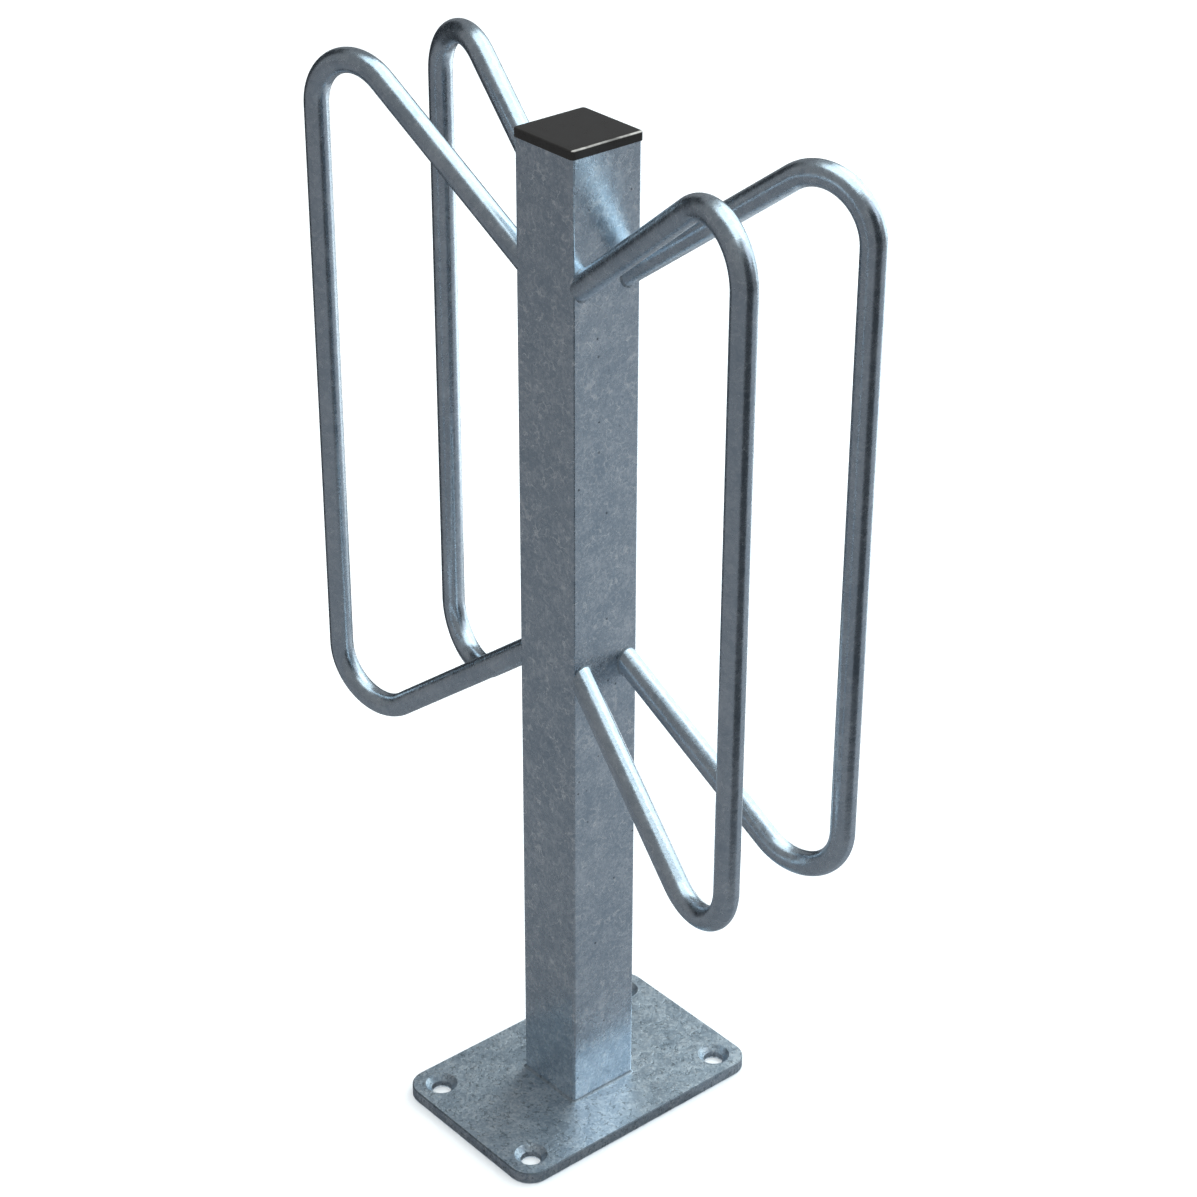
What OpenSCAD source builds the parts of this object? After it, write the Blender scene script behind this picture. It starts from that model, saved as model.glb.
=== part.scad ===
// Single bike stand for two bicycles, one from each side of a square post.
// +Z is up, X runs along the bicycles and Y across them.
// The origin is the middle of the base plate's underside. Lengths are in millimetres.

/* [Post] */
// Width of the square post across its flats
post_w = 60; // [50:1:80]
// Wall thickness of the square tube
post_wall = 3; // [2:0.5:4]
// Radius of the post's upright outer corners
post_corner_r = 2; // [1:0.5:4]
// Length of the post, from the base plate to its open top end
post_l = 775; // [600:5:900]

/* [Base plate] */
// Side of the plate along the bicycles
base_x = 154; // [140:1:200]
// Side of the plate across the bicycles
base_y = 231; // [180:1:280]
// Thickness of the plate
base_t = 10; // [8:0.5:14]
// Radius of the plate's corners
base_corner_r = 18; // [8:1:24]
// Small chamfer round the plate's upper and lower edges
base_edge = 0.8; // [0.4:0.1:1.5]
// Distance from a bolt hole's centre to the plate's edges
bolt_edge = 21.5; // [18:0.5:26]
// Diameter of the bolt holes
bolt_hole_d = 16; // [11:0.5:18]
// Diameter of the countersinks at the plate's upper face, cut at 90 degrees
countersink_d = 25; // [21:0.5:28]
// Diameter of the drain hole under the post, which lets the molten zinc run out
drain_d = 30; // [16:1:40]

/* [Wheel loops] */
// Outside diameter of the tube that the loops are bent from
loop_d = 18; // [16:0.5:22]
// Wall thickness of the loop tube
loop_wall = 2; // [1.5:0.5:3]
// Radius of the bends, to the tube's centreline
bend_r = 40; // [30:1:50]
// Reach of a loop, from the post's face to the centreline of its long run
loop_reach = 194; // [170:1:230]
// Depth of the upper roots below the post's top end
root_depth = 90; // [60:1:120]
// Distance between the upper and the lower root of a loop
root_gap = 305; // [250:1:340]
// Slope of the arms against the horizontal, in degrees
arm_slope = 37; // [30:1:42]
// Splay of each loop away from the bicycles' middle plane, in degrees
splay = 10; // [6:0.5:14]
// How far a tube's side stands past the post's side at its root
root_proud = 0.4; // [0:0.1:1]
// Diameter of the hole in the post behind each root, which vents the loop tube
vent_d = 8; // [5:0.5:11]

/* [Welds] */
// Leg of the weld between the post and the base plate
foot_leg = 2; // [1.5:0.5:5]
// Leg of the welds at the roots of the loops
root_leg = 1.5; // [1:0.5:3]

/* [End cap] */
// How far the cap's head stands past the post's flats
cap_overhang = 1; // [0.5:0.25:3]
// Thickness of the cap's head
cap_t = 6.5; // [4:0.5:9]
// Radius of the head's upright corners
cap_corner_r = 3; // [2:0.5:5]
// Radius of the head's upper edge
cap_edge_r = 1.2; // [0.6:0.2:1.8]
// Wall thickness of the insert below the head
insert_wall = 2; // [1.5:0.5:3]
// Depth of the insert inside the post
insert_l = 20; // [14:1:30]
// Thickness of the gripping fins round the insert
fin_t = 1.4; // [1:0.2:2]
// Depth of the groove between the insert's wall and the tips of its fins
fin_depth = 2.5; // [1.5:0.5:4]
// Number of gripping fins
fin_count = 3; // [2:1:4]
// Clearance between the fins and the post's inner faces
fin_gap = 0.1; // [0.05:0.05:0.3]

/* [Hidden] */
$fn = 96;

// Length by which cutting shapes run past what they cut
overrun = 1;

// Post
post_top = base_t + post_l;
post_inner = post_w - 2 * post_wall;
post_inner_r = post_corner_r / 2;

// Bolt holes
bolt_x = base_x / 2 - bolt_edge;
bolt_y = base_y / 2 - bolt_edge;
countersink_depth = (countersink_d - bolt_hole_d) / 2;

// Loops: the plane of a loop stands upright and is measured by its distance out
// from the root, along the splayed direction, and by its height
root_y = post_w / 2 + root_proud - loop_d / 2;
upper_root_z = post_top - root_depth;
lower_root_z = upper_root_z - root_gap;
arm_rise = loop_reach * tan(arm_slope);
bend_turn = 90 + arm_slope;
bend_tangent = bend_r * tan(bend_turn / 2);
bend_reach = bend_r + loop_d;
half_run = root_gap / 2 + arm_rise - bend_tangent;
arm_l = loop_reach / cos(arm_slope) - bend_tangent;
// Length of tube that runs on into the post before the end is cut to fit it
root_run_in = loop_d;

// End cap
insert_w = post_inner - 2 * fin_gap - 2 * fin_depth;
fin_pitch = insert_l / fin_count;
edge_steps = 6;

// Root welds: stations round the tube, and the arc next to the post's corner,
// on the tube's outer side, that is left without a weld
weld_steps = 28;
weld_bare_angle = acos(1 - (root_proud + post_corner_r + root_leg / 4) / (loop_d / 2));
weld_end_share = 0.35;
weld_taper_share = 0.12;
weld_crown_share = 0.6;

// A square outline with round corners, centred on the origin
module round_square(w, r) {
    square([w, w - 2 * r], center = true);
    square([w - 2 * r, w], center = true);
    for (x = [-1, 1], y = [-1, 1])
        translate([x * (w / 2 - r), y * (w / 2 - r)])
            circle(r);
}

// A slab with round corners. Its edge is a list of points, from the bottom up:
// how far the outline is drawn in there, and the height.
module slab(x, y, corner_r, edge) {
    last = len(edge) - 1;
    for (i = [-1, 1], j = [-1, 1])
        translate([i * (x / 2 - corner_r), j * (y / 2 - corner_r), 0])
            rotate_extrude()
                polygon(concat(
                    [[0, edge[0][1]]],
                    [for (p = edge) [corner_r - p[0], p[1]]],
                    [[0, edge[last][1]]]
                ));
    rotate([90, 0, 0])
        linear_extrude(height = y - 2 * corner_r, center = true)
            slab_section(x, edge);
    rotate([90, 0, 90])
        linear_extrude(height = x - 2 * corner_r, center = true)
            slab_section(y, edge);
}

// Section across a slab of width w
module slab_section(w, edge) {
    last = len(edge) - 1;
    polygon(concat(
        [for (p = edge) [w / 2 - p[0], p[1]]],
        [for (i = [last:-1:0]) [edge[i][0] - w / 2, edge[i][1]]]
    ));
}

module base_plate() {
    color("lightslategray")
        difference() {
            slab(base_x, base_y, base_corner_r,
                [[base_edge, 0], [0, base_edge], [0, base_t - base_edge], [base_edge, base_t]]);
            for (i = [-1, 1], j = [-1, 1])
                translate([i * bolt_x, j * bolt_y, 0])
                    bolt_hole();
            translate([0, 0, -overrun])
                cylinder(h = base_t + 2 * overrun, d = drain_d);
        }
}

// A through hole with a countersink at the plate's upper face
module bolt_hole() {
    translate([0, 0, -overrun])
        cylinder(h = base_t + 2 * overrun, d = bolt_hole_d);
    translate([0, 0, base_t - countersink_depth])
        cylinder(h = countersink_depth + overrun, d1 = bolt_hole_d, d2 = countersink_d + 2 * overrun);
}

// The space that the post fills, longer than the post at both ends by extra
module post_envelope(extra) {
    translate([0, 0, base_t - extra])
        linear_extrude(height = post_l + 2 * extra)
            round_square(post_w, post_corner_r);
}

module post() {
    color("slategray")
        difference() {
            post_envelope(0);
            translate([0, 0, base_t - overrun])
                linear_extrude(height = post_l + 2 * overrun)
                    round_square(post_inner, post_inner_r);
            for (i = [-1, 1], j = [-1, 1], z = [upper_root_z, lower_root_z])
                translate([i * (post_w / 2 + overrun), j * root_y, z])
                    rotate([0, -i * 90, 0])
                        cylinder(h = post_wall + 2 * overrun, d = vent_d);
        }
}

// The fillet of weld metal round the post's foot
module foot_weld() {
    straight = post_w - 2 * post_corner_r;
    section = [[0, 0], [foot_leg, 0], [foot_leg * weld_crown_share, foot_leg * weld_crown_share], [0, foot_leg]];
    color("gray")
        translate([0, 0, base_t])
            for (a = [0:90:270])
                rotate([0, 0, a]) {
                    translate([post_w / 2, straight / 2, 0])
                        rotate([90, 0, 0])
                            linear_extrude(height = straight)
                                polygon(section);
                    translate([straight / 2, straight / 2, 0])
                        rotate_extrude(angle = 90)
                            translate([post_corner_r, 0])
                                polygon(section);
                }
}

// Cross-section of the loop tube
module loop_ring() {
    difference() {
        circle(d = loop_d);
        circle(d = loop_d - 2 * loop_wall);
    }
}

// A length of loop tube along +Y from the origin
module straight_tube(l) {
    rotate([-90, 0, 0])
        linear_extrude(height = l)
            loop_ring();
}

// Everything on one side of a plane through the Z axis, which the X axis turned by a lies in
module half_space(a, side) {
    rotate([0, 0, a])
        translate([-bend_reach, side > 0 ? 0 : -2 * bend_reach, -bend_reach])
            cube(2 * bend_reach);
}

// The upper bend, round the Z axis, and the straight tubes that run on from its two ends:
// a ring of tube is cut off at both, so that all three share their ends exactly
module bend_and_runs() {
    turn = bend_turn / 2;
    difference() {
        rotate([0, 0, turn])
            rotate_extrude()
                translate([bend_r, 0])
                    loop_ring();
        half_space(turn, 1);
        half_space(-turn, -1);
    }
    rotate([0, 0, turn])
        translate([bend_r, 0, 0])
            straight_tube(arm_l + root_run_in);
    rotate([0, 0, -turn])
        translate([bend_r, 0, 0])
            mirror([0, 1, 0])
                straight_tube(half_run + overrun);
}

// The upper half of a loop, lying flat: the arm, which runs on past its root into the post,
// the bend, and half of the upright run, cut off at the loop's middle
module half_loop() {
    difference() {
        translate([0, half_run, 0])
            rotate([0, 0, bend_turn / 2])
                bend_and_runs();
        translate([0, -2 * bend_reach, -bend_reach])
            cube(2 * bend_reach);
    }
}

// The loop on the right of the post and on its far side, its ends cut to fit the post
module wheel_loop() {
    color("lightsteelblue")
        difference() {
            translate([post_w / 2, root_y, upper_root_z - root_gap / 2])
                rotate([90, 0, splay])
                    translate([loop_reach - bend_r, 0, 0]) {
                        half_loop();
                        mirror([0, 1, 0])
                            half_loop();
                    }
            post_envelope(overrun);
        }
}

// Frame of an arm at its root: along the tube, across it to the outer side, and square to both
function arm_along(up) = [cos(arm_slope) * cos(splay), cos(arm_slope) * sin(splay), up * sin(arm_slope)];
function arm_across() = [-sin(splay), cos(splay), 0];
function arm_square(up) = cross(arm_along(up), arm_across());

// Direction round the tube at the angle a, and its rate of change
function round_dir(up, a) = cos(a) * arm_across() + sin(a) * arm_square(up);
function round_rate(up, a) = -sin(a) * arm_across() + cos(a) * arm_square(up);

// A direction r slid along the tube until it lies in the post's face
function in_face(up, r) = r - (r[0] / arm_along(up)[0]) * arm_along(up);

// Unit vector in the post's face, square to the seam and away from the tube
function seam_out(up, a) =
    let (t = in_face(up, round_rate(up, a)), n = [0, t[2], -t[1]] / norm(t))
    n * in_face(up, round_dir(up, a)) > 0 ? n : -n;

// Size of the weld at the share s of its way round: full, with short tapers at both ends
function weld_size(s) =
    root_leg * min(1, weld_end_share + (1 - weld_end_share) * min(s, 1 - s) / weld_taper_share);

// Section of the weld at the share s: in the corner, out on the post, on the crown, up the tube
function weld_section(up, s) =
    let (
        a = weld_bare_angle + s * (360 - 2 * weld_bare_angle),
        step = (360 - 2 * weld_bare_angle) / weld_steps,
        root = [post_w / 2, root_y, up > 0 ? upper_root_z : lower_root_z],
        p = root + loop_d / 2 / cos(step / 2) * in_face(up, round_dir(up, a)),
        n = seam_out(up, a) * weld_size(s),
        d = arm_along(up) * weld_size(s)
    )
    [p, p + n, p + weld_crown_share * (n + d), p + d];

// The weld at a root of the loop on the right and far side
module root_weld(up) {
    sections = [for (i = [0:weld_steps]) weld_section(up, i / weld_steps)];
    size = len(sections[0]);
    points = [for (s = sections) each s];
    sides = [
        for (i = [0:weld_steps - 1], k = [0:size - 1])
            let (a = i * size + k, b = i * size + (k + 1) % size)
            each [[a, b, b + size], [a, b + size, a + size]]
    ];
    first = [[2, 1, 0], [3, 2, 0]];
    last = [for (f = first) [for (k = [2:-1:0]) f[k] + weld_steps * size]];
    faces = concat(sides, first, last);
    color("gray")
        polyhedron(points, up > 0 ? faces : [for (f = faces) [f[2], f[1], f[0]]]);
}

// Puts a loop or a weld on one side of the post: right or left, and near or far
module place(right, far) {
    mirror([right ? 0 : 1, 0, 0])
        mirror([0, far ? 0 : 1, 0])
            children();
}

// The plastic plug in the post's open end
module end_cap() {
    head_w = post_w + 2 * cap_overhang;
    arc = [
        for (i = [0:edge_steps])
            let (a = 90 * i / edge_steps)
            [cap_edge_r * (1 - cos(a)), cap_t - cap_edge_r + cap_edge_r * sin(a)]
    ];
    color("dimgray")
        translate([0, 0, post_top]) {
            slab(head_w, head_w, cap_corner_r, concat([[0, 0]], arc));
            translate([0, 0, -insert_l])
                linear_extrude(height = insert_l)
                    difference() {
                        square(insert_w, center = true);
                        square(insert_w - 2 * insert_wall, center = true);
                    }
            for (k = [0:fin_count - 1])
                translate([0, 0, -insert_l + k * fin_pitch])
                    linear_extrude(height = fin_t)
                        difference() {
                            square(post_inner - 2 * fin_gap, center = true);
                            square(insert_w - insert_wall, center = true);
                        }
        }
}

base_plate();
post();
end_cap();
foot_weld();
place(true, false) wheel_loop();  // loop_right_near
place(true, true) wheel_loop();  // loop_right_far
place(false, false) wheel_loop();  // loop_left_near
place(false, true) wheel_loop();  // loop_left_far
place(true, false) root_weld(1);  // weld_right_near_upper
place(true, false) root_weld(-1);  // weld_right_near_lower
place(true, true) root_weld(1);  // weld_right_far_upper
place(true, true) root_weld(-1);  // weld_right_far_lower
place(false, false) root_weld(1);  // weld_left_near_upper
place(false, false) root_weld(-1);  // weld_left_near_lower
place(false, true) root_weld(1);  // weld_left_far_upper
place(false, true) root_weld(-1);  // weld_left_far_lower
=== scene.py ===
# %% [markdown]
# # A galvanised bike stand
# The real stand is a square steel post on a bolted base plate. Four closed loops of bent steel tube are
# welded to the post, two on each side, and a bicycle's wheel goes in between the two loops of a pair. The
# whole frame was dipped in molten zinc after welding, and a black plastic plug closes the post's top.
#
# This script dresses the stand's construction model, which is already at its real size. Its base plate and
# post have the right shape, so they only get a better surface. The loops, the weld seams and the cap are
# made again as smooth surfaces worked out with numpy, each in the place of the solid that it stands for.

# %% Load the construction model
import math

import bpy
import numpy as np
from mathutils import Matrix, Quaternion, Vector


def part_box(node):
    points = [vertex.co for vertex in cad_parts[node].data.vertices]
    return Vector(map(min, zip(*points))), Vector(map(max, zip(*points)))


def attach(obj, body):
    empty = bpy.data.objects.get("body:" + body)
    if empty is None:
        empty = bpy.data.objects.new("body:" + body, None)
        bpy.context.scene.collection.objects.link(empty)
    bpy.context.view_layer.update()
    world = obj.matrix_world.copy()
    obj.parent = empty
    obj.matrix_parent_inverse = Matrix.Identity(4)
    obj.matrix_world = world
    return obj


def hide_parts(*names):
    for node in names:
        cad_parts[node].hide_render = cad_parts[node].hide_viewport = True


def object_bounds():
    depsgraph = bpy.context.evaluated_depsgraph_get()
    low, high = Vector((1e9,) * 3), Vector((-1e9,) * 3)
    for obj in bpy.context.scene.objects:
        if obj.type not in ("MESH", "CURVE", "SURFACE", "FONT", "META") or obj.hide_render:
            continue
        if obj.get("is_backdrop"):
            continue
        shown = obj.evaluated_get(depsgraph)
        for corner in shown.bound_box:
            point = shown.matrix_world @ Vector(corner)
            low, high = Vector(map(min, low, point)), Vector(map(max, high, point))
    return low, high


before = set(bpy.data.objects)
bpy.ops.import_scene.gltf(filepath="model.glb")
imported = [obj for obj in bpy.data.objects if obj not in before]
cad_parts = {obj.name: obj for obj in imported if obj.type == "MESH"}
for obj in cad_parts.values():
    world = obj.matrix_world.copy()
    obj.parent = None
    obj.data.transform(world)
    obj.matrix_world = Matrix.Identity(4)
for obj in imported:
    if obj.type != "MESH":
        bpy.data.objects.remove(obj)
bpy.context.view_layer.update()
MM = 0.001
BODY = "root"
print("nodes of the construction model:", len(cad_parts))

# %% [markdown]
# ## The camera
# The camera stands where the photographer's stood: a little over a metre above the post's middle, looking
# down at 29 degrees past the stand's corner. A long lens keeps the upright tubes almost parallel. The focal
# length was measured in the photograph's own pixels, so it is turned into Blender's millimetres through the
# width of the picture.

# %% Make the camera
PHOTO_SIDE = 1197
FOCAL_PIXELS = 2856.2
SENSOR = 36.0
CAMERA_PLACE = Vector((1.3724, -1.1525, 1.4412))
LOOK_AT = Vector((0.0094, 0.0110, 0.4367))
CAMERA_ROLL = math.radians(0.2)
NEAREST, FURTHEST = 0.05, 60.0

camera_data = bpy.data.cameras.new("camera")
camera_data.sensor_width = SENSOR
camera_data.lens = FOCAL_PIXELS / PHOTO_SIDE * SENSOR
camera_data.clip_start, camera_data.clip_end = NEAREST, FURTHEST
camera = bpy.data.objects.new("camera", camera_data)
camera.rotation_mode = "QUATERNION"
camera.location = CAMERA_PLACE
camera.rotation_quaternion = (
    (LOOK_AT - CAMERA_PLACE).to_track_quat("-Z", "Y") @ Quaternion((0, 0, 1), CAMERA_ROLL)
)
bpy.context.scene.collection.objects.link(camera)
bpy.context.scene.camera = camera
print(f"camera: a {camera_data.lens:.1f} mm lens, {CAMERA_PLACE.length:.2f} m from the plate's middle")

# %% [markdown]
# ## Surfaces from grids of points
# Every new piece here is a surface with two parameters: one runs along the piece and one runs round it. So
# each piece is a grid of points, and one function joins neighbouring points with four-sided faces. The grid
# can close on itself in either direction, which is how a tube gets its round section and a hollow wall its
# rims. Blender's own tube tools could do some of this, but a grid gives the exact radius everywhere.

# %% Define the grid function
SHARP_ANGLE = math.radians(30)


def grid_object(name, points, close_rows=False, close_columns=False, close_ends=False):
    """A mesh from an array of points (rows, columns, 3), with a face between each four neighbours.

    Point (i, j) is vertex i * columns + j. The face's corners are (i, j), (i, j + 1), (i + 1, j + 1) and
    (i + 1, j), where i and j wrap round if the grid closes that way. Closed ends are one flat face across the
    first row and one across the last. The faces are turned over if they enclose a negative volume, which is
    the sum over all triangles of a . (b x c) / 6. Edges bent by more than the sharp angle stay sharp.
    """
    rows, columns = points.shape[:2]
    i = np.arange(rows if close_rows else rows - 1)[:, None]
    j = np.arange(columns if close_columns else columns - 1)[None, :]
    below, beside = (i + 1) % rows, (j + 1) % columns
    corners = [i * columns + j, i * columns + beside, below * columns + beside, below * columns + j]
    faces = np.stack(corners, -1).reshape(-1, 4)
    vertices = points.reshape(-1, 3)
    a, b, c, d = (vertices[faces[:, k]] for k in range(4))
    volume = (a * np.cross(b, c) + a * np.cross(c, d)).sum() / 6
    faces = faces.tolist()
    if close_ends:
        for end in (list(range(columns))[::-1], list(range(len(vertices) - columns, len(vertices)))):
            rim = vertices[end]
            volume += (rim[0] * np.cross(rim[1:-1], rim[2:])).sum() / 6
            faces.append(end)
    if volume < 0:
        faces = [face[::-1] for face in faces]
    mesh = bpy.data.meshes.new(name)
    mesh.from_pydata(vertices.tolist(), [], faces)
    mesh.shade_smooth()
    mesh.set_sharp_from_angle(angle=SHARP_ANGLE)
    piece = bpy.data.objects.new(name, mesh)
    bpy.context.scene.collection.objects.link(piece)
    print(f"{name}: {len(vertices)} points, {len(faces)} faces, {abs(volume) / MM**3 / 1000:.2f} cm3")
    return piece


# %% [markdown]
# ## The post's outline
# The post is a square tube with small round corners. The loops' ends and the weld seams have to follow its
# surface exactly, so the outline is written as a signed distance: how far a point lies outside the square
# with round corners, negative inside it. Sliding a point along a straight line until that distance is zero
# puts it on the steel.


# %% Measure the post and define its outline
POST_CORNER = 2 * MM
HALVINGS = 40
post_low, post_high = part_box("post")
POST_HALF = post_high.x
POST_FOOT, POST_TOP = post_low.z, post_high.z
print(f"post: {2 * POST_HALF / MM:.0f} mm square, from {POST_FOOT / MM:.0f} to {POST_TOP / MM:.0f} mm")


def outside_post(points):
    """Signed distance from the post's outline, negative inside it.

    With q = |p| - half + r, it is length(max(q, 0)) + min(max(qx, qy), 0) - r.
    """
    q = np.abs(points[..., :2]) - (POST_HALF - POST_CORNER)
    reach = np.linalg.norm(np.maximum(q, 0), axis=-1)
    return reach + np.minimum(q.max(axis=-1), 0) - POST_CORNER


def slide_to_post(points, direction, travel):
    """Each point moved along direction until it meets the post, by halving the stretch -travel..travel."""
    near = np.full(points.shape[:-1], -travel)
    far = np.full(points.shape[:-1], travel)
    for _ in range(HALVINGS):
        middle = (near + far) / 2
        outside = outside_post(points + middle[..., None] * direction) > 0
        near, far = np.where(outside, middle, near), np.where(outside, far, middle)
    return points + near[..., None] * direction


# %% [markdown]
# ## The wheel loops
# Each loop is one length of 18 mm tube, bent twice to a radius of 40 mm: an upright run, two bends and two
# arms that slope back to the post, where both ends are cut to fit its face. The loop lies flat in an upright
# plane that is splayed 10 degrees away from the bicycle. A circle carried along that path is the whole shape.
# Because the path is flat, the circle's two directions are the plane's normal and a line square to that and
# to the path.

# %% Define a loop's path
TUBE_R = 9 * MM
TUBE_WALL = 2 * MM
BEND_R = 40 * MM
ARM_SLOPE = math.radians(37)
SPLAY = math.radians(10)
ROOT_GAP = 305 * MM
ROOT_PROUD = 0.4 * MM
RUN_POINTS, BEND_POINTS, ARM_POINTS = 16, 40, 12

loop_low, loop_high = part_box("loop_right_far")
LOOP_MIDDLE = (loop_low.z + loop_high.z) / 2
LOOP_REACH = (loop_high.x - POST_HALF - TUBE_R) / math.cos(SPLAY)
ROOT_Y = POST_HALF + ROOT_PROUD - TUBE_R
BEND_TURN = math.pi / 2 + ARM_SLOPE
BEND_TANGENT = BEND_R * math.tan(BEND_TURN / 2)
HALF_RUN = ROOT_GAP / 2 + LOOP_REACH * math.tan(ARM_SLOPE) - BEND_TANGENT
ARM_LENGTH = LOOP_REACH / math.cos(ARM_SLOPE) - BEND_TANGENT
print(f"loop: reach {LOOP_REACH / MM:.1f} mm, half run {HALF_RUN / MM:.1f} mm, arm {ARM_LENGTH / MM:.1f} mm")


def half_path():
    """Half the centreline, from the middle of the upright run to the upper root, and its direction.

    Each row is (out from the root, up from the loop's middle). The run is (reach, t). The bend is
    (reach - R + R cos a, half run + R sin a), a from 0 to the bend's turn. The arm goes straight on.
    """
    run = np.linspace(0, HALF_RUN, RUN_POINTS, endpoint=False)
    angle = np.linspace(0, BEND_TURN, BEND_POINTS, endpoint=False)
    arm = np.linspace(0, ARM_LENGTH, ARM_POINTS)
    centre = np.array([LOOP_REACH - BEND_R, HALF_RUN])
    bend_end = centre + BEND_R * np.array([math.cos(BEND_TURN), math.sin(BEND_TURN)])
    along = np.array([-math.sin(BEND_TURN), math.cos(BEND_TURN)])
    places = np.concatenate([
        np.stack([np.full_like(run, LOOP_REACH), run], -1),
        centre + BEND_R * np.stack([np.cos(angle), np.sin(angle)], -1),
        bend_end + arm[:, None] * along,
    ])
    directions = np.concatenate([
        np.tile([0.0, 1.0], (len(run), 1)),
        np.stack([-np.sin(angle), np.cos(angle)], -1),
        np.tile(along, (len(arm), 1)),
    ])
    return places, directions


def loop_path():
    """The whole centreline in the row's frame, from the lower root to the upper, and its direction."""
    places, directions = half_path()
    places = np.concatenate([places[:0:-1] * [1, -1], places])
    directions = np.concatenate([directions[:0:-1] * [-1, 1], directions])
    out = np.array([math.cos(SPLAY), math.sin(SPLAY), 0.0])
    up = np.array([0.0, 0.0, 1.0])
    root = np.array([POST_HALF, ROOT_Y, LOOP_MIDDLE])
    place = root + places[:, :1] * out + places[:, 1:] * up
    return place, directions[:, :1] * out + directions[:, 1:] * up


# %% Make the four loops
AROUND = 64
CUT_TRAVEL = 1.4 * TUBE_R


def tube_skin(radius):
    """A circle carried along the path, with its ends cut to the post.

    Each point is centre + radius (cos a * across + sin a * square), with a in even steps round the tube.
    """
    place, along = loop_path()
    across = np.array([-math.sin(SPLAY), math.cos(SPLAY), 0.0])
    square = np.cross(along, across)
    a = (2 * math.pi * (np.arange(AROUND) + 0.5) / AROUND)[None, :, None]
    skin = place[:, None] + radius * (np.cos(a) * across + np.sin(a) * square[:, None])
    skin[0] = slide_to_post(skin[0], -along[0], CUT_TRAVEL)
    skin[-1] = slide_to_post(skin[-1], along[-1], CUT_TRAVEL)
    return skin


def each_loop():
    """The four loops' names and the signs that mirror the right and far one into their places."""
    for side, x in (("right", 1), ("left", -1)):
        for row, y in (("near", -1), ("far", 1)):
            yield f"{side}_{row}", np.array([x, y, 1])


# The wall is one closed surface: along the outside, over a cut end, back through the bore, over the other.
wall = np.concatenate([tube_skin(TUBE_R), tube_skin(TUBE_R - TUBE_WALL)[::-1]])
loops = []
for corner, signs in each_loop():
    loop = grid_object(f"{corner}_tube", wall * signs, close_rows=True, close_columns=True)
    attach(loop, BODY)
    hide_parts(f"loop_{corner}")
    loops.append(loop)

# %% [markdown]
# ## The weld seams
# A welder runs a small bead round each root of a loop, on the post's flat face, and a bead round the post's
# foot. Next to the corner the tube stands past the flat, so the bead stops there. Each bead is a fillet with
# a slightly hollow face and the fine ripples that the weld pool leaves as it freezes, softened by the zinc.
# The photograph shows almost nothing of them, so they are small.

# %% Define the seams
ROOT_LEG = 1.5 * MM
FOOT_LEG = 2 * MM
BARE_ANGLE = math.acos(1 - (ROOT_PROUD + POST_CORNER + ROOT_LEG / 4) / TUBE_R)
STATIONS = 240
END_SIZE, TAPER_SHARE = 0.35, 0.12
SINK = 0.08 * MM
RIPPLE = 1.7 * MM
RIPPLE_SHARE = 0.07
PULL = 0.3
FACE_POINTS, CORNER_POINTS, FOOT_POINTS = 9, 10, 150


def fillet(toward_a, toward_b):
    """Points of a fillet's face between two legs a and b: (1 - t)^2 a + 2 t (1 - t) pull (a + b) + t^2 b.

    A pull of 0.5 makes the face flat, and a smaller one makes it hollow.
    """
    t = np.linspace(0, 1, FACE_POINTS)[:, None]
    a, b = toward_a[..., None, :], toward_b[..., None, :]
    return (1 - t) ** 2 * a + 2 * t * (1 - t) * PULL * (a + b) + t**2 * b


def root_seam(up):
    """The bead round a root of the right and far loop: one section at each of the stations round the tube.

    The seam's corner is where the tube's surface meets the face: the direction round the tube, slid along the
    tube until it lies in the face, times the tube's radius. One leg lies on the face, square to the seam, and
    the other runs up the tube. Near its two ends the bead tapers.
    """
    share = np.linspace(0, 1, STATIONS)
    a = (BARE_ANGLE + share * (2 * math.pi - 2 * BARE_ANGLE))[:, None]
    along = np.array([
        math.cos(ARM_SLOPE) * math.cos(SPLAY), math.cos(ARM_SLOPE) * math.sin(SPLAY), up * math.sin(ARM_SLOPE)
    ])
    across = np.array([-math.sin(SPLAY), math.cos(SPLAY), 0.0])
    square = np.cross(along, across)
    radial = np.cos(a) * across + np.sin(a) * square
    rate = -np.sin(a) * across + np.cos(a) * square
    corner = radial - radial[:, :1] / along[0] * along
    tangent = rate - rate[:, :1] / along[0] * along
    length = np.linalg.norm(tangent, axis=1).mean() * TUBE_R * (2 * math.pi - 2 * BARE_ANGLE)
    out = np.stack([np.zeros(STATIONS), tangent[:, 2], -tangent[:, 1]], -1)
    out /= np.linalg.norm(out, axis=1, keepdims=True)
    out *= np.sign((out * corner).sum(1, keepdims=True))
    taper = np.minimum(1, END_SIZE + (1 - END_SIZE) * np.minimum(share, 1 - share) / TAPER_SHARE)
    ripple = RIPPLE_SHARE * (0.5 + 0.5 * np.cos(2 * math.pi * share * round(length / RIPPLE)))
    size = ROOT_LEG * taper * (1 - ripple)
    root = np.array([POST_HALF, ROOT_Y, LOOP_MIDDLE + up * ROOT_GAP / 2]) + TUBE_R * corner
    face = fillet(out, np.tile(along, (STATIONS, 1))) * size[:, None, None]
    into_post = np.array([-SINK, 0.0, 0.0])
    into_tube = -SINK * radial
    t = np.linspace(0, 1, face.shape[1])[:, None]
    face += (1 - t) * into_post + t * into_tube[:, None]
    hidden = (into_post + into_tube)[:, None]
    return root[:, None] + np.concatenate([hidden, face], 1)


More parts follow.
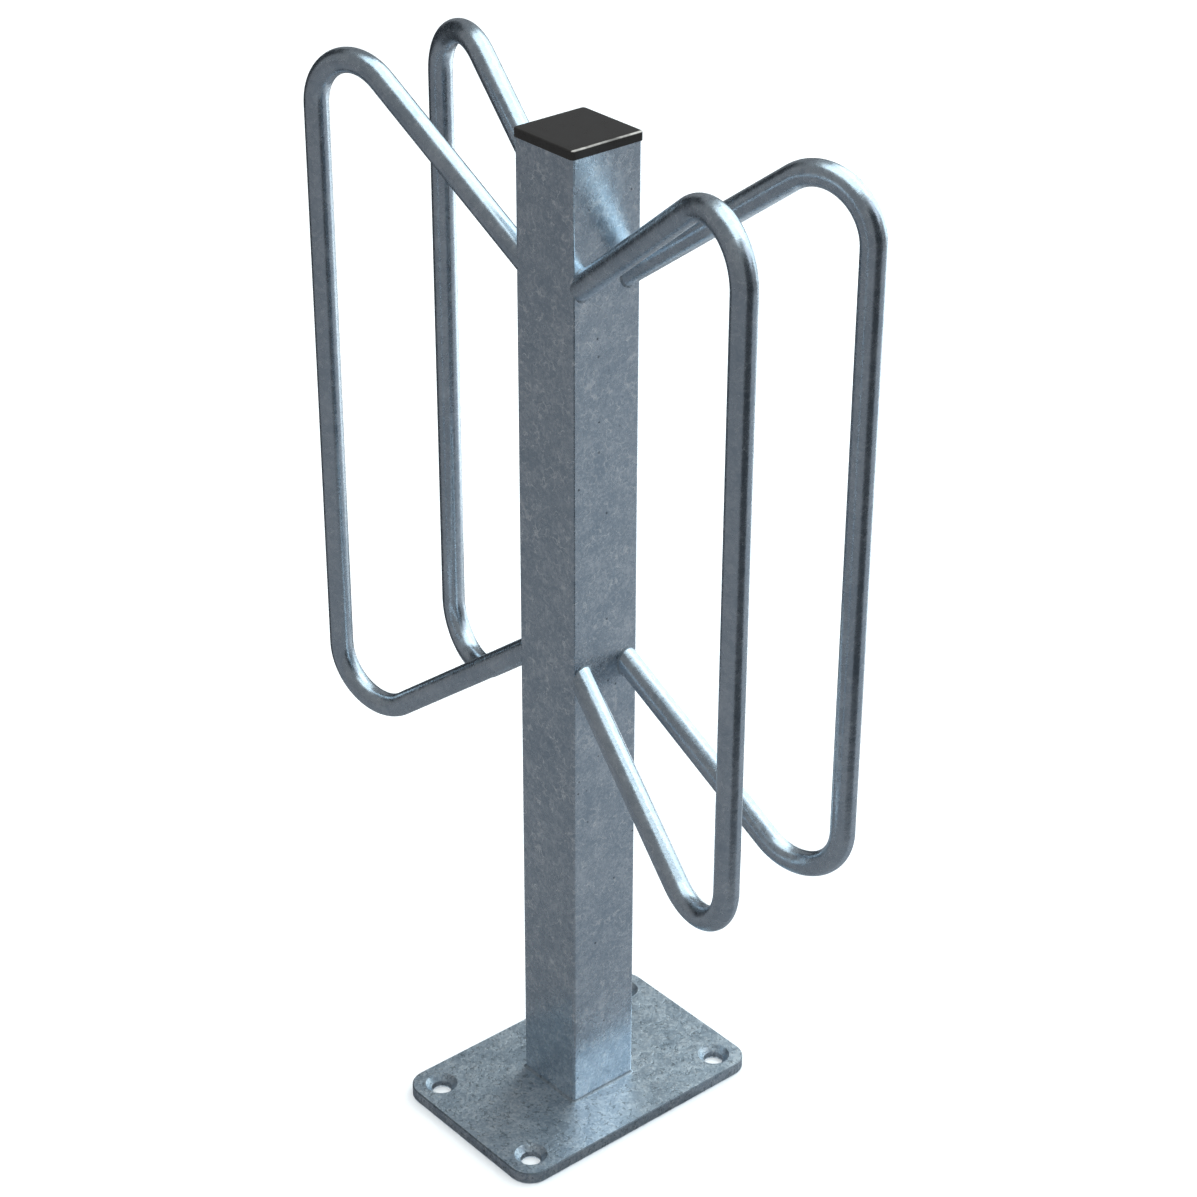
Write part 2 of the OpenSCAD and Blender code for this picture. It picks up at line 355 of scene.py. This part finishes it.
def round_square(half, radius, straight):
    """The outline of a square with round corners: a quarter of it, turned on by 90 degrees three times.

    The quarter is a straight side (half, t), and then a corner (half - r) + r (cos a, sin a).
    """
    side = np.linspace(-1, 1, straight, endpoint=False) * (half - radius)
    a = np.linspace(0, math.pi / 2, CORNER_POINTS, endpoint=False)
    quarter = np.concatenate([
        np.stack([np.full_like(side, half), side], -1),
        half - radius + radius * np.stack([np.cos(a), np.sin(a)], -1),
    ])
    turned = []
    for _ in range(4):
        turned.append(quarter)
        quarter = np.stack([-quarter[:, 1], quarter[:, 0]], -1)
    return np.concatenate(turned)


def ring(half, radius, height, straight=8):
    """A row of points: the round square of that size at one height. straight is the points to a side."""
    outline = round_square(half, radius, straight)
    return np.concatenate([outline, np.full((len(outline), 1), height)], 1)


def foot_seam():
    """The bead round the post's foot: rows of a fillet from the plate to the post, rippled on the way."""
    columns = 4 * (FOOT_POINTS + CORNER_POINTS)
    girth = 8 * POST_HALF
    share = np.arange(columns) / columns
    ripple = RIPPLE_SHARE * (0.5 + 0.5 * np.cos(2 * math.pi * share * round(girth / RIPPLE)))
    base = ring(POST_HALF, POST_CORNER, POST_FOOT, FOOT_POINTS)
    out = ring(POST_HALF + FOOT_LEG, POST_CORNER + FOOT_LEG, POST_FOOT, FOOT_POINTS) - base
    up = np.tile([0.0, 0.0, FOOT_LEG], (columns, 1))
    legs = fillet(out, up) * (1 - ripple)[:, None, None]
    t = np.linspace(0, 1, legs.shape[1])[:, None]
    legs += (1 - t) * [0, 0, -SINK] - t * (out / FOOT_LEG * SINK)[:, None]
    hidden = (-out / FOOT_LEG * SINK + [0, 0, -SINK])[:, None]
    return (base[:, None] + np.concatenate([hidden, legs], 1)).transpose(1, 0, 2)


# %% Make the seams
seams = []
for up, level in ((1, "upper"), (-1, "lower")):
    bead = root_seam(up)
    for corner, signs in each_loop():
        seam = grid_object(f"{corner}_{level}_seam", bead * signs, close_columns=True, close_ends=True)
        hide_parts(f"weld_{corner}_{level}")
        seams.append(seam)
seam = grid_object("foot_seam", foot_seam(), close_rows=True, close_columns=True)
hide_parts("foot_weld")
seams.append(seam)
for seam in seams:
    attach(seam, BODY)

# %% [markdown]
# ## The end cap
# The cap is one moulding of black polyethylene. Its square head covers the cut end of the post and has a
# rounded upper edge, so that nothing snags on it. Below the head a square sleeve reaches into the post, and
# the thin fins round it bend and grip when the cap is hammered in. All of it is one profile that is carried
# round a square with round corners: down inside the sleeve, up its outside past the fins, and over the head.

# %% Make the end cap
CAP_CORNER = 3 * MM
CAP_EDGE = 1.2 * MM
SLEEVE_DEPTH = 20 * MM
SLEEVE_WALL = 2 * MM
SLEEVE_CORNER = 0.3 * MM
POST_WALL = 3 * MM
FIN_GAP = 0.1 * MM
FIN_DEPTH = 2.5 * MM
FIN_T = 1.4 * MM
FIN_COUNT = 3
FIN_HALF = POST_HALF - POST_WALL - FIN_GAP
SLEEVE_HALF = FIN_HALF - FIN_DEPTH
EDGE_ROWS = 9
TOP_SHARE = 0.8

cap_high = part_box("end_cap")[1]
cap_half, cap_top = cap_high.x, cap_high.z
sleeve_end = POST_TOP - SLEEVE_DEPTH
inner = SLEEVE_HALF - SLEEVE_WALL
rows = [(inner, SLEEVE_CORNER, POST_TOP), (inner, SLEEVE_CORNER, sleeve_end)]
for k in range(FIN_COUNT):
    low = sleeve_end + k * SLEEVE_DEPTH / FIN_COUNT
    fin = [(SLEEVE_HALF, low), (FIN_HALF, low), (FIN_HALF, low + FIN_T), (SLEEVE_HALF, low + FIN_T)]
    rows += [(half, SLEEVE_CORNER, height) for half, height in fin]
rows += [(SLEEVE_HALF, SLEEVE_CORNER, POST_TOP), (cap_half, CAP_CORNER, POST_TOP)]
for a in np.linspace(0, math.pi / 2, EDGE_ROWS):
    inset = CAP_EDGE * (1 - math.cos(a))
    rows.append((cap_half - inset, CAP_CORNER - inset, cap_top - CAP_EDGE * (1 - math.sin(a))))
rows.append((TOP_SHARE * cap_half, CAP_CORNER, cap_top))
cap = grid_object(
    "cap", np.stack([ring(half, radius, height) for half, radius, height in rows]),
    close_columns=True, close_ends=True,
)
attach(cap, BODY)
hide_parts("end_cap")

# %% [markdown]
# ## Colours and nodes
# Every material is a small network of nodes. One function adds a node and fills or links its inputs, and one
# turns a screen colour into the linear values that the renderer works with. All patterns are measured in
# millimetres on the object itself, so they stay in place from every side.

# %% Define the helpers for materials


def linear(colour):
    """A screen colour such as #6e767e as linear red, green, blue and alpha.

    A share c of red, green or blue becomes c / 12.92 if it is dark, and ((c + 0.055) / 1.055)^2.4 if not.
    """
    shares = [int(colour[i:i + 2], 16) / 255 for i in (1, 3, 5)]
    return [c / 12.92 if c <= 0.04045 else ((c + 0.055) / 1.055) ** 2.4 for c in shares] + [1.0]


def add(tree, kind, inputs=None, **settings):
    """A new node with its settings. An input is set to its value, or linked if that is a node's socket."""
    node = tree.nodes.new("ShaderNode" + kind)
    for name, value in settings.items():
        setattr(node, name, value)
    for name, value in (inputs or {}).items():
        if isinstance(value, bpy.types.NodeSocket):
            tree.links.new(value, node.inputs[name])
        else:
            node.inputs[name].default_value = value
    return node


def maths(tree, operation, a, b=0.5, c=0.0):
    """One step of arithmetic between sockets or numbers."""
    return add(tree, "Math", {0: a, 1: b, 2: c}, operation=operation).outputs[0]


def blend(tree, share, a, b):
    """Colour a where share is 0 and colour b where it is 1."""
    return add(tree, "Mix", {0: share, 6: a, 7: b}, data_type="RGBA", clamp_factor=True).outputs[2]


def spread(tree, value, low, high, to_low, to_high):
    """value moved from the range low..high into the range to_low..to_high, and kept inside it."""
    return add(tree, "MapRange", {0: value, 1: low, 2: high, 3: to_low, 4: to_high}).outputs[0]


def noise(tree, place, size_mm, detail, roughness=0.55):
    """A soft random pattern from 0 to 1 whose blotches are about size_mm across."""
    return add(
        tree, "TexNoise", {"Vector": place, "Scale": 1000 / size_mm, "Detail": detail, "Roughness": roughness}
    ).outputs["Fac"]


def cells(tree, place, size_mm):
    """Irregular cells size_mm across: the distance from a cell's middle, and the cell's own random colour."""
    node = add(tree, "TexVoronoi", {"Vector": place, "Scale": 1000 / size_mm})
    return node.outputs["Distance"], node.outputs["Color"]


def material(name):
    """A new material with only its output and shader: (material, tree, shader)."""
    made = bpy.data.materials.new(name)
    made.use_nodes = True
    tree = made.node_tree
    tree.nodes.clear()
    shader = add(tree, "BsdfPrincipled")
    output = add(tree, "OutputMaterial")
    tree.links.new(shader.outputs[0], output.inputs[0])
    return made, tree, shader


# %% [markdown]
# ## Hot-dip zinc
# The welded frame hangs in a bath of molten zinc at about 450 degrees. The zinc freezes into thin crystals,
# so the coat is a metal mirror broken into faint patches, with soft clouds where it ran off at different
# speeds. Fresh zinc mirrors most of the light and is slightly blue, so light that bounces twice, from a
# loop's arm to the post and then to the eye, comes out bluer. A roughness of about 0.3 blurs what the metal
# mirrors: the tubes carry long soft highlights, and the flat faces look satin.
#
# A brushed or painted finish would need a grain direction or a clear coat. Zinc has neither, so its tone,
# roughness and relief all come from the same few random patterns, measured in millimetres. Crystals and
# mottling are 5 and 6 mm across, the clouds 38 mm, and the finest flecks 2 mm. A real scratch is about a
# tenth of a millimetre wide, too fine to show on the whole stand, so the pale strokes are drawn coarser.

# %% Define the zinc
ZINC_DIM, ZINC_BRIGHT = linear("#b7c6d3"), linear("#ebf3fa")
ZINC_PALE, ZINC_DARK = linear("#fbfdfe"), linear("#59626b")
CLOUD_MM, MOTTLE_MM, CRYSTAL_MM, FINE_MM = 38, 6, 5, 2.2
FLECK_PATCH_MM = 14
STROKE_MM, STROKE_WIDTH, STROKE_GAP_MM = 10, 0.027, 11
WRINKLE_MM, WRINKLE_WIDTH, WRINKLE_GAP_MM = 5, 0.05, 4
PIT_CELL_MM, PIT_RADIUS, PIT_SHARE = 9, 0.13, 0.35
STROKE_SCATTER = 0.1
EDGE_GREY, EDGE_ROUGHNESS = 0.6, 0.35
PLATE_CORNER, PLATE_EDGE = 18 * MM, 0.8 * MM
plate_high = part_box("base_plate")[1]


def lines(tree, place, size_mm, width, gaps_mm):
    """Thin wandering lines: where a soft pattern passes its middle value, with gaps from a second pattern."""
    off = maths(tree, "ABSOLUTE", maths(tree, "SUBTRACT", noise(tree, place, size_mm, 1.0), 0.5))
    return maths(
        tree, "MULTIPLY", spread(tree, off, 0.3 * width, width, 1, 0),
        spread(tree, noise(tree, place, gaps_mm, 1.0), 0.50, 0.56, 0, 1),
    )


def spots(tree, place, size_mm, radius, share):
    """Round spots, one in the middle of some of the cells: radius and share run from 0 to 1."""
    middle, colour = cells(tree, place, size_mm)
    chance = add(tree, "SeparateColor", {"Color": colour}).outputs["Green"]
    return maths(
        tree, "MULTIPLY", spread(tree, middle, 0.5 * radius, radius, 1, 0),
        spread(tree, chance, share, share - 0.03, 0, 1),
    )


def plate_edge(tree, place):
    """1 on the rounded upper edge of the plate and 0 elsewhere.

    How far a point lies outside the plate's outline is length(max(|p| - half + r, 0)) - r, as for the post.
    """
    flat = add(tree, "VectorMath", {0: place, 1: (1, 1, 0)}, operation="MULTIPLY").outputs[0]
    size = add(tree, "VectorMath", {0: flat}, operation="ABSOLUTE").outputs[0]
    straight = (plate_high.x - PLATE_CORNER, plate_high.y - PLATE_CORNER, 0)
    past = add(tree, "VectorMath", {0: size, 1: straight}, operation="SUBTRACT").outputs[0]
    past = add(tree, "VectorMath", {0: past, 1: (0, 0, 0)}, operation="MAXIMUM").outputs[0]
    reach = add(tree, "VectorMath", {0: past}, operation="LENGTH").outputs["Value"]
    height = add(tree, "SeparateXYZ", {0: place}).outputs["Z"]
    near_outline = spread(tree, reach, PLATE_CORNER - 1.1 * PLATE_EDGE, PLATE_CORNER - 0.8 * PLATE_EDGE, 0, 1)
    near_top = spread(tree, height, plate_high.z - 1.2 * PLATE_EDGE, plate_high.z - PLATE_EDGE, 0, 1)
    return maths(tree, "MULTIPLY", near_outline, near_top)


def zinc(name, mottling, grain, scratches, wrinkles, pits, relief, rough, dull=0.0, edge=None):
    """A coat of hot-dip zinc. The five numbers after the name are strengths from 0 to 1, and relief is in mm.

    The tone is 0.3 clouds + 0.1 crystal + mottling + grain, spread round its own middle. Scratches are drawn
    over it in nearly white zinc, wrinkles and pits in dark. A scratch scatters a little light, so it is up
    to 10 % less metallic. dull is how far the whole coat is greyed, and edge gives a pattern that is 1 where
    it is greyed and roughened as well.
    """
    made, tree, shader = material(name)
    place = add(tree, "TexCoord").outputs["Object"]
    clouds = noise(tree, place, CLOUD_MM, 2.0)
    mottle = noise(tree, place, MOTTLE_MM, 4.0, 0.6)
    fine = noise(tree, place, FINE_MM, 2.0, 0.6)
    crystal = add(tree, "SeparateColor", {"Color": cells(tree, place, CRYSTAL_MM)[1]}).outputs["Red"]
    tone = maths(tree, "MULTIPLY_ADD", crystal, 0.10, maths(tree, "MULTIPLY", clouds, 0.3))
    tone = maths(tree, "MULTIPLY_ADD", mottle, mottling, tone)
    fleck_tone = maths(tree, "MULTIPLY_ADD", noise(tree, place, FLECK_PATCH_MM, 1.0), 0.5, fine)
    flecks = spread(tree, fleck_tone, 0.68, 0.96, 0, 1)
    tone = maths(tree, "MULTIPLY_ADD", flecks, grain, tone)
    middle = 0.20 + mottling / 2 + grain / 3
    tone = spread(tree, tone, middle - 0.22, middle + 0.22, 0, 1)
    colour = blend(tree, tone, ZINC_DIM, ZINC_BRIGHT)
    strokes = lines(tree, place, STROKE_MM, STROKE_WIDTH, STROKE_GAP_MM)
    strokes = maths(tree, "MULTIPLY", strokes, scratches)
    glints = maths(tree, "MULTIPLY", spread(tree, fine, 0.60, 0.72, 0, 1), grain)
    colour = blend(tree, maths(tree, "MAXIMUM", strokes, glints), colour, ZINC_PALE)
    dark = maths(tree, "MULTIPLY", lines(tree, place, WRINKLE_MM, WRINKLE_WIDTH, WRINKLE_GAP_MM), wrinkles)
    ash = maths(tree, "MULTIPLY", spots(tree, place, PIT_CELL_MM, PIT_RADIUS, PIT_SHARE), pits)
    dark = maths(tree, "MAXIMUM", dark, ash)
    colour = blend(tree, dark, colour, ZINC_DARK)
    if edge:
        dull = maths(tree, "MAXIMUM", maths(tree, "MULTIPLY", edge(tree, place), EDGE_GREY), dull)
    if edge or dull:
        colour = blend(tree, dull, colour, ZINC_DARK)
    tree.links.new(colour, shader.inputs["Base Color"])
    shader.inputs["Metallic"].default_value = 1.0
    if scratches:
        tree.links.new(maths(tree, "MULTIPLY_ADD", strokes, -STROKE_SCATTER, 1.0), shader.inputs["Metallic"])
    sheen = maths(tree, "MULTIPLY_ADD", crystal, 0.2, maths(tree, "MULTIPLY_ADD", clouds, 0.4, mottle))
    gloss = spread(tree, sheen, 0.5, 1.1, rough - 0.06, rough + 0.06)
    if edge:
        gloss = maths(tree, "MULTIPLY_ADD", dull, EDGE_ROUGHNESS, gloss)
    tree.links.new(gloss, shader.inputs["Roughness"])
    height = maths(tree, "MULTIPLY_ADD", fine, 0.5, mottle)
    height = maths(tree, "SUBTRACT", height, maths(tree, "MULTIPLY", dark, 0.5))
    bump = add(tree, "Bump", {"Height": height, "Strength": 1.0, "Distance": relief * MM})
    tree.links.new(bump.outputs[0], shader.inputs["Normal"])
    return made


# %% [markdown]
# ## One bath, four looks
# What lies under the zinc changes how it freezes:
#
# - Drawn tube is smooth and thin, so its coat is even and bright, with a few fine scratches from handling.
# - The post's flat faces show pale flecks of crystal, small dark pits where ash stuck, and more scratches.
# - Rolled plate has a coarse skin. Its coat is rougher and crossed by short dark wrinkles, and along the
#   upper edge, where the zinc drains thin and gets rubbed, it is dull and grey.
# - Weld metal holds more silicon, on which zinc grows thick, matt and grey, so a seam hardly shines.

# %% Make the zinc of the tubes, the post, the plate and the seams
# Each coat: mottling, grain, scratches, wrinkles and pits as strengths, then relief in mm and roughness.
tube_zinc = zinc("zinc_on_bent_tube", 0.28, 0.12, 0.20, 0.0, 0.0, 0.12, 0.27)
post_zinc = zinc("zinc_on_post", 0.30, 0.26, 0.50, 0.0, 0.8, 0.12, 0.27)
plate_zinc = zinc("zinc_on_rolled_plate", 0.35, 0.36, 0.0, 0.45, 0.5, 0.34, 0.43, edge=plate_edge)
seam_zinc = zinc("zinc_on_weld", 0.60, 0.20, 0.0, 0.5, 0.0, 0.30, 0.55, dull=0.3)
print("zinc:", ", ".join(coat.name for coat in (tube_zinc, post_zinc, plate_zinc, seam_zinc)))

# %% [markdown]
# ## Black polyethylene
# The cap's pigment goes right through, so its black is nearly even, with faint smears from moulding. The
# mould has a fine spark-eroded grain, which turns the lamps into a wide dim sheen. The real grain is finer
# than 0.1 mm, too fine to show here, so it is drawn coarser. A broken light line along one upper edge is a
# painted highlight. It is pale colour laid on by its place on the cap, so it stays there from every side,
# which a highlight from a lamp wouldn't do.

# %% Make the black plastic
GRAIN_MM, SMEAR_MM = 0.7, 14
GRAIN_RELIEF = 0.01 * MM

plastic, tree, shader = material("moulded_polyethylene")
place = add(tree, "TexCoord").outputs["Object"]
grain = noise(tree, place, GRAIN_MM, 3.0, 0.6)
smears = noise(tree, place, SMEAR_MM, 2.0)
across, _, height = add(tree, "SeparateXYZ", {0: place}).outputs
# The painted highlight lies on the upper part of the round edge at +X, and the smears break it up.
painted_highlight_line = maths(
    tree, "MULTIPLY", spread(tree, across, cap_half - 1.8 * CAP_EDGE, cap_half - 1.2 * CAP_EDGE, 0, 1),
    spread(tree, height, cap_top - 0.7 * CAP_EDGE, cap_top - 0.4 * CAP_EDGE, 0, 1),
)
painted_highlight_line = maths(tree, "MULTIPLY", painted_highlight_line, spread(tree, smears, 0.32, 0.50, 0.3, 1))
colour = blend(tree, smears, linear("#242221"), linear("#2b2a29"))
# The pale colour along the edge is a painted highlight, not a mark on the plastic.
tree.links.new(blend(tree, painted_highlight_line, colour, linear("#a8a5a0")), shader.inputs["Base Color"])
shader.inputs["Specular IOR Level"].default_value = 0.2
gloss = spread(tree, maths(tree, "MULTIPLY_ADD", grain, 0.5, smears), 0.5, 1.0, 0.26, 0.34)
tree.links.new(gloss, shader.inputs["Roughness"])
bump = add(tree, "Bump", {"Height": grain, "Strength": 1.0, "Distance": GRAIN_RELIEF})
tree.links.new(bump.outputs[0], shader.inputs["Normal"])

# %% Give the pieces their materials
steel_pieces = [(piece, tube_zinc) for piece in loops] + [(piece, seam_zinc) for piece in seams]
steel_pieces += [(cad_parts["post"], post_zinc), (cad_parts["base_plate"], plate_zinc)]
for piece, finish in steel_pieces:
    piece.data.materials.clear()
    piece.data.materials.append(finish)
cap.data.materials.append(plastic)
print("in zinc:", len(steel_pieces), "pieces; in black plastic:", cap.name)

# %% [markdown]
# ## The studio
# Galvanised steel shows little but its surroundings, so these matter as much as the material. The photograph
# shows the stand on pure white, and yet the post's faces are mid grey and the tubes carry dark bands. It was
# most likely photographed over a grey mat, between dark and white cloths, and cut out afterwards.
#
# So the camera sees plain pale board, with a pale wall far behind it, and the metal mirrors a mat and cloths
# that the camera can't see. A tall lamp like a window behind the stand and one like a ceiling above it give
# the tubes their cool white highlights, and a small one at the side lights the post's foot. Soft daylight
# from straight above whitens the floor. The dull felts only send back what falls on them.

# %% Make the floor and the lamps
FIBRE_MM = 3
FLOOR_HALF = 30.0
LAMP_AIM = Vector((0, 0, 0.45))
DAYLIGHT_STRENGTH, DAYLIGHT_SPREAD = 3.3, math.radians(120)

board, tree, shader = material("pale_board")
place = add(tree, "TexCoord").outputs["Object"]
fibres = noise(tree, place, FIBRE_MM, 3.0)
tree.links.new(blend(tree, fibres, linear("#e6e8e9"), linear("#eaeced")), shader.inputs["Base Color"])
shader.inputs["Roughness"].default_value = 0.9

# The floor lies a hair's breadth below the plate, so that the two faces never share one height.
mesh = bpy.data.meshes.new("floor")
corners = [(-1, -1), (1, -1), (1, 1), (-1, 1)]
mesh.from_pydata([(FLOOR_HALF * x, FLOOR_HALF * y, -SINK) for x, y in corners], [], [(0, 1, 2, 3)])
mesh.materials.append(board)
floor = bpy.data.objects.new("floor", mesh)
bpy.context.scene.collection.objects.link(floor)
floor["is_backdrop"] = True


def softbox(name, azimuth, elevation, distance, width, height, radiance, tint, level=False):
    """A flat lamp that faces the stand's middle, or straight down if it is level.

    Its power is radiance x pi x area, so that a lamp of any size looks equally bright.
    """
    lamp = bpy.data.lights.new(name, "AREA")
    lamp.shape = "RECTANGLE"
    lamp.size, lamp.size_y = width, height
    lamp.energy = radiance * math.pi * width * height
    lamp.color = linear(tint)[:3]
    a, e = math.radians(azimuth), math.radians(elevation)
    away = Vector((math.cos(e) * math.cos(a), math.cos(e) * math.sin(a), math.sin(e)))
    made = bpy.data.objects.new(name, lamp)
    made.location = LAMP_AIM + distance * away
    made.rotation_mode = "QUATERNION"
    if not level:
        made.rotation_quaternion = away.to_track_quat("Z", "Y")
    made.visible_camera = False
    bpy.context.scene.collection.objects.link(made)
    print(f"{name} lamp: {width} x {height} m, {lamp.energy:.1f} W")


# Each lamp: azimuth and elevation in degrees, then distance, width and height in metres, radiance and tint.
softbox("window", 90, 24, 2.5, 2.5, 3.1, 1.45, "#e8faff")
softbox("side", 42, 36, 2.5, 1.5, 1.4, 0.8, "#e9f4ff")
softbox("ceiling", 67.8, 73.2, 2.61, 2.45, 3.12, 1.5, "#e8faff", level=True)

lamp = bpy.data.lights.new("daylight", "SUN")
lamp.energy, lamp.angle = DAYLIGHT_STRENGTH, DAYLIGHT_SPREAD
daylight = bpy.data.objects.new("daylight", lamp)
daylight.visible_glossy = False
bpy.context.scene.collection.objects.link(daylight)
print(f"daylight: strength {DAYLIGHT_STRENGTH}, from {math.degrees(DAYLIGHT_SPREAD):.0f} degrees of the sky")

# %% Define the cloths and the wall
CLOTH_STEP = 4
WALL_POINTS = 65


def felt(name, colour):
    """Dull woollen cloth of one colour, without any shine."""
    made, _, shader = material(name)
    shader.inputs["Base Color"].default_value = linear(colour)
    shader.inputs["Roughness"].default_value = 1.0
    return made


def sheet(name, profile, azimuths, finish, unseen_by):
    """A sheet round the stand: row by row the points (r cos a, r sin a, z), with (r, z) from the profile.

    The rays that unseen_by names pass straight through it, and so do all but the camera's and mirrored ones.
    """
    count = len(azimuths)
    radius, height = np.array(profile).T[:, :, None]
    grid = np.broadcast_arrays(radius * np.cos(azimuths), radius * np.sin(azimuths), height)
    points = np.stack(grid, -1).reshape(-1, 3)
    i = count * np.arange(len(profile) - 1)[:, None]
    j = np.arange(count - 1)[None, :]
    faces = np.stack([i + j, i + j + 1, i + count + j + 1, i + count + j], -1).reshape(-1, 4)
    mesh = bpy.data.meshes.new(name)
    mesh.from_pydata(points.tolist(), [], faces.tolist())
    mesh.materials.append(finish)
    made = bpy.data.objects.new(name, mesh)
    for kind in (unseen_by, "diffuse", "transmission", "shadow", "volume_scatter"):
        setattr(made, f"visible_{kind}", False)
    bpy.context.scene.collection.objects.link(made)
    made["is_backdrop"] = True
    print(f"{name}: {len(faces)} faces, up to {points[:, 2].max():.3f} m high and {radius.max()} m away")


def cloth(name, from_azimuth, to_azimuth, height, near, far, top, shade):
    """A cloth that lies on the floor between two distances from the post and then hangs up to the height top.

    Only mirror-like reflections see it: it isn't in the picture, and it takes no light from the floor.
    """
    count = 2 + round((to_azimuth - from_azimuth) / CLOTH_STEP)
    azimuths = np.radians(np.linspace(from_azimuth, to_azimuth, count))
    profile = [(near, height), (far, height), (far, max(top, height + MM))]
    sheet(name, profile, azimuths, shade, "camera")


def backdrop(radius, height):
    """A round translucent wall behind everything, lit from behind. Only the camera sees it."""
    acrylic, _, shader = material("lit_acrylic")
    shader.inputs["Base Color"].default_value = linear("#f4f4f4")
    shader.inputs["Emission Color"].default_value = linear("#ffffff")
    shader.inputs["Emission Strength"].default_value = 1.0
    azimuths = np.linspace(0, 2 * math.pi, WALL_POINTS)
    sheet("backdrop", [(radius, -SINK), (radius, height)], azimuths, acrylic, "glossy")


# %% Hang the cloths and set up the wall and the sky
SKY_STRENGTH = 0.22

black_felt, grey_felt = felt("black_felt", "#27292c"), felt("grey_felt", "#616265")
mid_felt, pale_felt = felt("mid_felt", "#727478"), felt("pale_felt", "#a2a4a6")
white_felt = felt("white_felt", "#e0e2e3")
# Each cloth: first and last azimuth in degrees, then the height, near edge, far edge and top in metres.
cloth("grey_mat", 0, 360, 0.001, 0.02, 29.5, 0.0, grey_felt)
cloth("dark_right", -24, 26, 0.002, 0.75, 2.4, 2.3, black_felt)
cloth("mid_right", 19, 76, 0.0015, 0.10, 2.4, 0.0, mid_felt)
cloth("dark_left", 166, 204, 0.002, 0.6, 2.4, 2.6, black_felt)
cloth("dark_back", 124, 166, 0.002, 1.2, 2.4, 0.5, black_felt)
cloth("white_back", 76, 124, 0.002, 0.85, 2.4, 0.0, white_felt)
cloth("pale_near", 76, 112, 0.002, 0.14, 0.85, 0.0, pale_felt)
backdrop(12.0, 9.0)

world = bpy.data.worlds.new("studio")
world.use_nodes = True
sky = world.node_tree.nodes["Background"]
sky.inputs["Color"].default_value = linear("#f2f6fa")
sky.inputs["Strength"].default_value = SKY_STRENGTH
bpy.context.scene.world = world
bpy.context.scene.view_settings.view_transform = "Standard"
print(f"sky: strength {SKY_STRENGTH}")

# %% Write the sizes and finish
low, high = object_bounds()
print("size in mm:", " x ".join(f"{(b - a) / MM:.1f}" for a, b in zip(low, high)))
